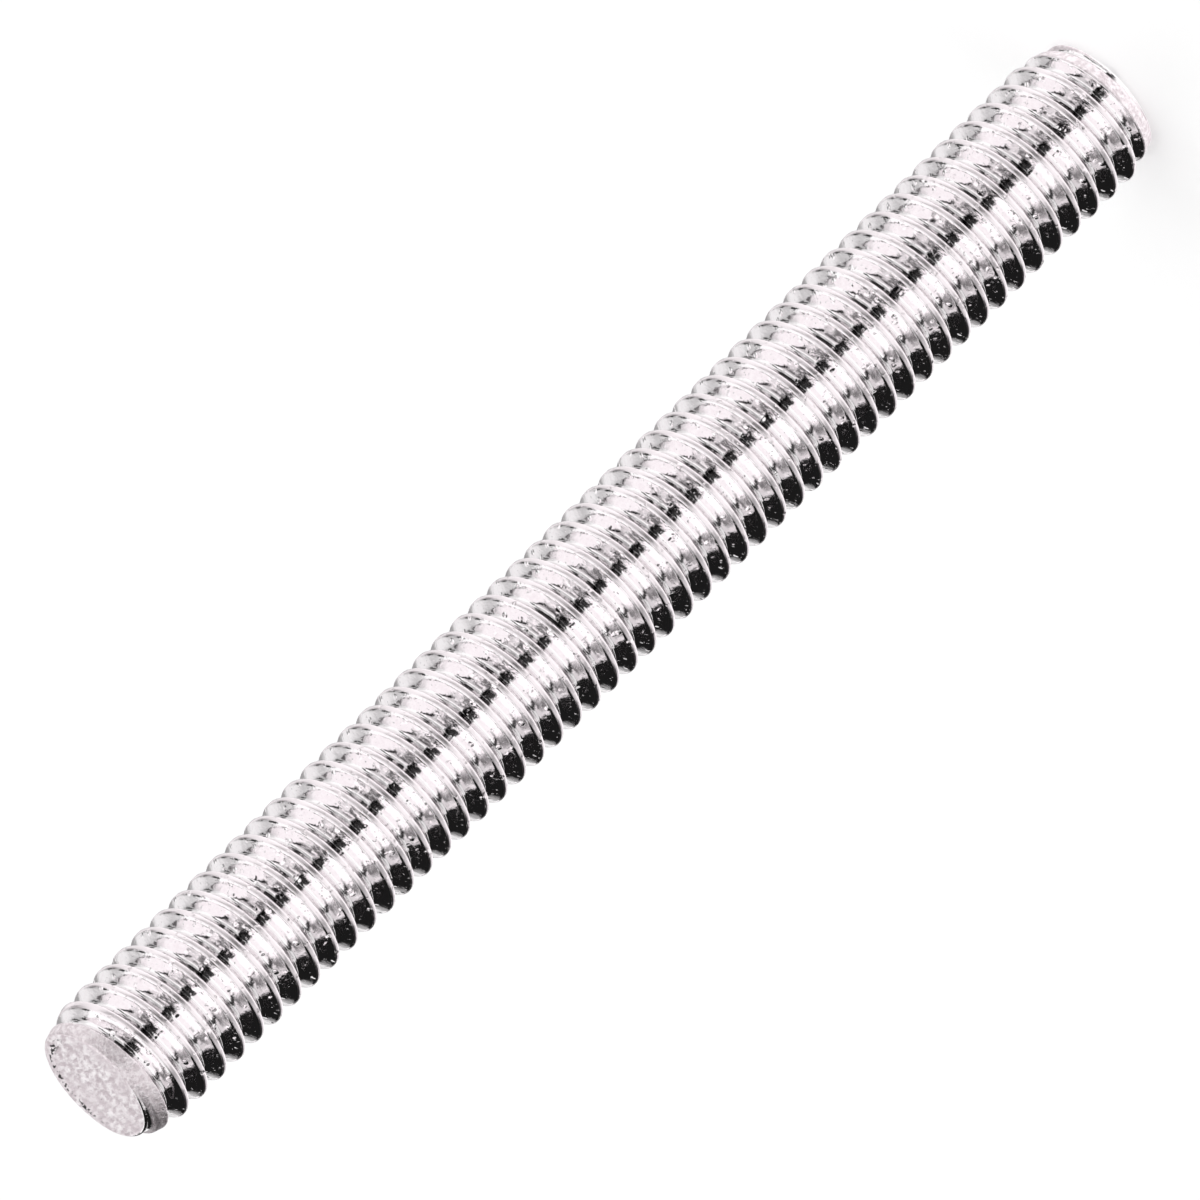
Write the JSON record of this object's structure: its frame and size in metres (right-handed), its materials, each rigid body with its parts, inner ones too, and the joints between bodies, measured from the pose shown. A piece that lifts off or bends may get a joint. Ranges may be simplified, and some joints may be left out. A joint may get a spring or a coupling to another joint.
{
  "type": "threaded rod",
  "caption": "Straight steel rod with a right-hand screw thread along its whole length and a short taper at each cut end.",
  "frame": {"origin": "centre of the lower end face, on the rod's axis", "axes": "+Z along the rod, from the lower end face to the upper one; X and Y across it"},
  "size_m": [0.008, 0.008, 0.0762],
  "materials": {
    "plated_steel": "bright zinc-plated carbon steel, shiny on the rolled thread, rough on the cut ends"
  },
  "bodies": {
    "root": {"threaded_rod": "plated_steel"}
  },
  "joints": []
}
